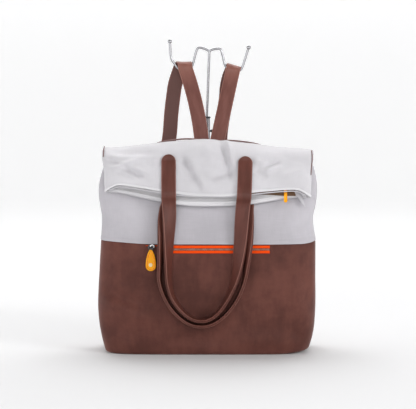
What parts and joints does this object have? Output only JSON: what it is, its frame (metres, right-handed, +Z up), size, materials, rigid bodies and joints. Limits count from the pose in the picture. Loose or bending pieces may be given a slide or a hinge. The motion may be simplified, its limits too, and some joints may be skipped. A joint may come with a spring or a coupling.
{
  "type": "convertible backpack on display stand",
  "caption": "Fold-over canvas tote backpack in grey and brown, its shoulder straps hung on a double hook stand",
  "frame": {"origin": "middle of the base of the bag and its stand, on the surface that both stand on", "axes": "+X to the right seen from the front, -Y towards the front, +Z up"},
  "size_m": [0.4, 0.2968, 0.5659],
  "materials": {
    "brown_cloth": "soft coated cloth, fine grain, low sheen",
    "grey_canvas": "smooth coated canvas, matte",
    "brown_strap": "two-ply strap, satin, edges turned",
    "orange_tape": "woven zip tape",
    "zip_teeth": "coil teeth",
    "mouth_tape": "woven zip tape",
    "yellow_plastic": "glossy moulded pull",
    "chrome": "polished"
  },
  "bodies": {
    "bag": {"lower_body": "brown_cloth", "upper_body": "grey_canvas", "back_handle": "brown_strap", "front_handle": "brown_strap", "left_shoulder_strap": "brown_strap", "right_shoulder_strap": "brown_strap", "pocket_tape_upper": "orange_tape", "pocket_teeth": "zip_teeth", "pocket_tape_lower": "orange_tape", "pocket_slider": "chrome", "mouth_tape": "mouth_tape", "mouth_slider": "chrome", "gusset_tab": "grey_canvas", "stand_base": "chrome", "stand_tube": "chrome", "hook_rod": "chrome"},
    "pocket_pull": {"pocket_pull_link": "chrome", "pocket_pull_drop": "yellow_plastic"},
    "mouth_zip_pull": {"mouth_pull": "yellow_plastic"}
  },
  "joints": [
    {"name": "pocket_pull_hinge", "type": "hinge", "parent": "bag", "child": "pocket_pull", "pos_m": [-0.10101, -0.12481, 0.1944], "axis": [-1, 0, 0], "range_deg": [0, 150]},
    {"name": "mouth_pull_hinge", "type": "hinge", "parent": "bag", "child": "mouth_zip_pull", "pos_m": [0.13699, -0.10959, 0.29957], "axis": [-1, 0, 0], "range_deg": [0, 12]}
  ]
}
